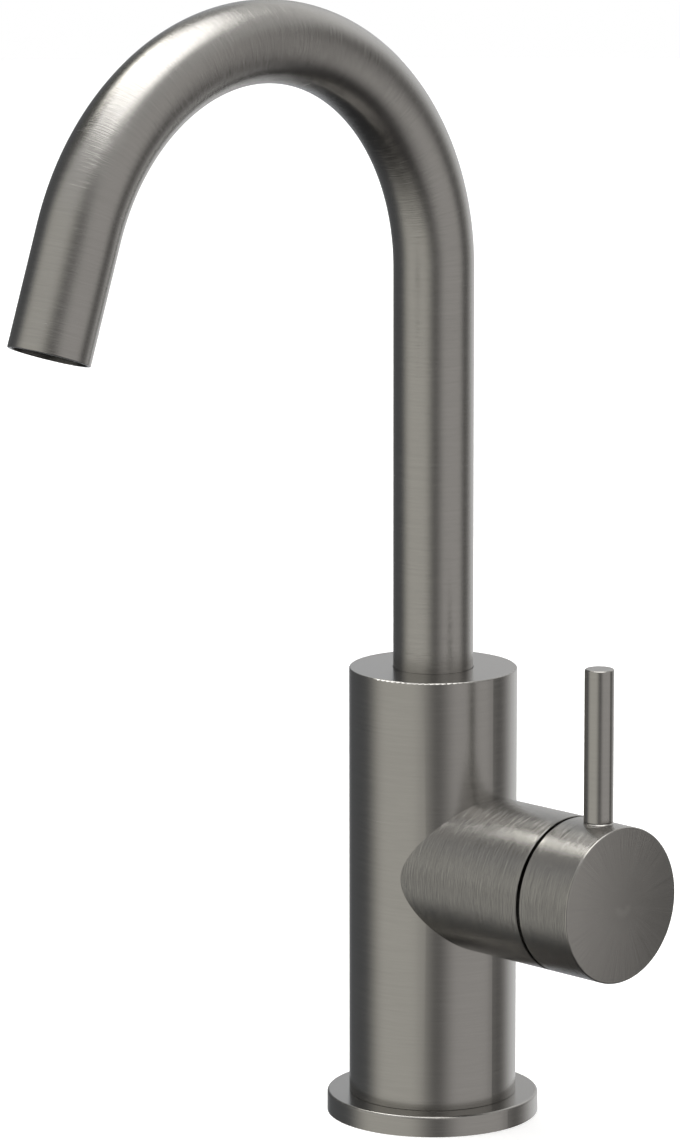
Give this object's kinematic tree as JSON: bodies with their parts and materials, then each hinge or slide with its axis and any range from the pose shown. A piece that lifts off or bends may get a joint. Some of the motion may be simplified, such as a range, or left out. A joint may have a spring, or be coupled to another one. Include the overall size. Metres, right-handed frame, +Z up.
{
  "type": "tall basin mixer",
  "caption": "Tall deck-mounted basin mixer with a swivelling gooseneck spout and a side valve worked by a pin lever.",
  "frame": {"origin": "middle of the base ring's underside, on the column's axis, at deck level", "axes": "+Z up along the column, -Y the way the spout points at rest, +X along the valve barrel towards the handle"},
  "size_m": [0.1012, 0.1786, 0.313],
  "materials": {
    "gunmetal": "fine brushed gunmetal coating",
    "brass": "machined and cast brass",
    "copper": "drawn copper tube",
    "steel": "turned stainless steel",
    "seal": "moulded seal rubber",
    "cartridge_plastic": "moulded engineering plastic",
    "rotor_plastic": "moulded low-friction plastic",
    "carrier_plastic": "moulded engineering plastic",
    "ceramic": "lapped alumina ceramic",
    "aerator_plastic": "black moulded plastic",
    "mesh_plastic": "grey moulded plastic"
  },
  "bodies": {
    "body": {"base_ring": "gunmetal", "base_seal": "seal", "column": "gunmetal", "inlet_plug": "brass", "inlet_pipe_hot": "copper", "inlet_pipe_cold": "copper", "seat_block": "brass", "outlet_pipe": "copper", "spout_socket": "brass", "glide_ring": "rotor_plastic", "stop_screw": "steel", "valve_barrel": "gunmetal", "cartridge_base": "cartridge_plastic", "port_seals": "seal", "cartridge_housing": "cartridge_plastic", "fixed_disc": "ceramic", "cartridge_nut": "brass", "dome_cover": "steel"},
    "spout": {"spout_tube": "gunmetal", "spout_spigot": "brass", "spigot_orings": "seal", "aerator_housing": "aerator_plastic", "aerator_comb": "mesh_plastic", "aerator_seal": "seal"},
    "rotor": {"cartridge_rotor": "rotor_plastic", "pivot_pin": "steel"},
    "handle": {"stem": "brass", "handle_cap": "gunmetal", "cap_screw": "steel", "lever_rod": "gunmetal"},
    "disc": {"moving_disc": "ceramic", "disc_carrier": "carrier_plastic"}
  },
  "joints": [
    {"name": "spout_swivel", "type": "hinge", "parent": "body", "child": "spout", "pos_m": [0, 0, 0.11175], "axis": [0, 0, 1], "range_deg": [-60, 60]},
    {"name": "temperature_turn", "type": "hinge", "parent": "body", "child": "rotor", "pos_m": [0.0423, 0, 0.07075], "axis": [1, 0, 0], "range_deg": [-50, 50]},
    {"name": "flow_tilt", "type": "hinge", "parent": "rotor", "child": "handle", "pos_m": [0.0423, 0, 0.07075], "axis": [0, 1, 0], "range_deg": [0, 25]},
    {"name": "disc_slide", "type": "slide", "parent": "rotor", "child": "disc", "axis": [0, 0, 1], "range_m": [0, 0.0048]}
  ],
  "couplings": [
    {"joint": "disc_slide", "follows": "flow_tilt", "m_per_rad": 0.010913}
  ]
}
